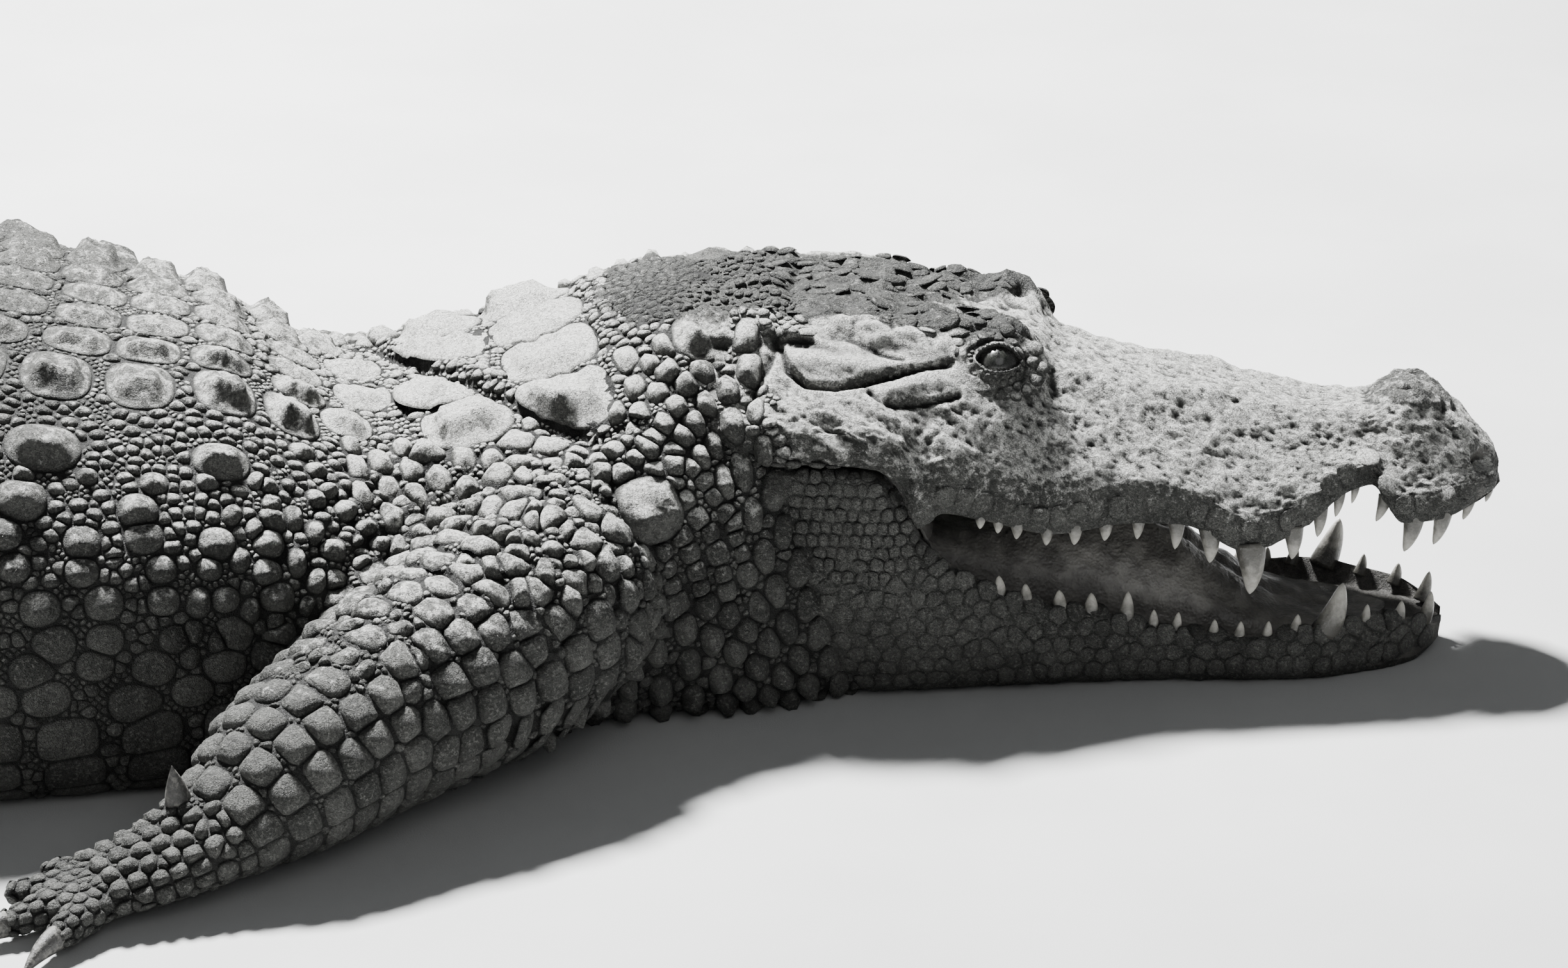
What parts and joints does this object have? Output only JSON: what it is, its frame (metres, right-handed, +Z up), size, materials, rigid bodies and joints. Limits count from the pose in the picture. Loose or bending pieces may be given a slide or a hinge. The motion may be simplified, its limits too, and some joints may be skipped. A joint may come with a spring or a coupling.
{
  "type": "crocodile",
  "caption": "Life-size still model of a mugger crocodile resting on its belly, limbs splayed, tail swept aside and mouth a little open.",
  "frame": {"origin": "middle of the footprint at floor level, where the belly rests", "axes": "+X the way the head faces, +Y to the animal's left, +Z up"},
  "size_m": [2.9576, 1.8602, 0.296],
  "materials": {
    "skin": "matt scaly hide, dry with pale dried mud on its raised parts",
    "eye": "wet and glossy, dark",
    "claw": "dull horn",
    "tongue": "smooth, moist",
    "tooth": "worn ivory, stained at the gum"
  },
  "bodies": {
    "root": {"claw_arm_left_1": "claw", "claw_arm_left_2": "claw", "claw_arm_left_3": "claw", "claw_arm_right_1": "claw", "claw_arm_right_2": "claw", "claw_arm_right_3": "claw", "claw_leg_left_1": "claw", "claw_leg_left_2": "claw", "claw_leg_left_3": "claw", "claw_leg_right_1": "claw", "claw_leg_right_2": "claw", "claw_leg_right_3": "claw", "eye_left": "eye", "eye_right": "eye", "foot_left": "skin", "foot_right": "skin", "forearm_left": "skin", "forearm_right": "skin", "hand_left": "skin", "hand_right": "skin", "head": "skin", "lower_jaw": "skin", "neck": "skin", "shank_left": "skin", "shank_right": "skin", "tail_1": "skin", "tail_2": "skin", "tail_3": "skin", "tail_4": "skin", "tail_5": "skin", "thigh_left": "skin", "thigh_right": "skin", "tongue": "tongue", "trunk_front": "skin", "trunk_rear": "skin", "upper_arm_left": "skin", "upper_arm_right": "skin"}
  },
  "joints": []
}
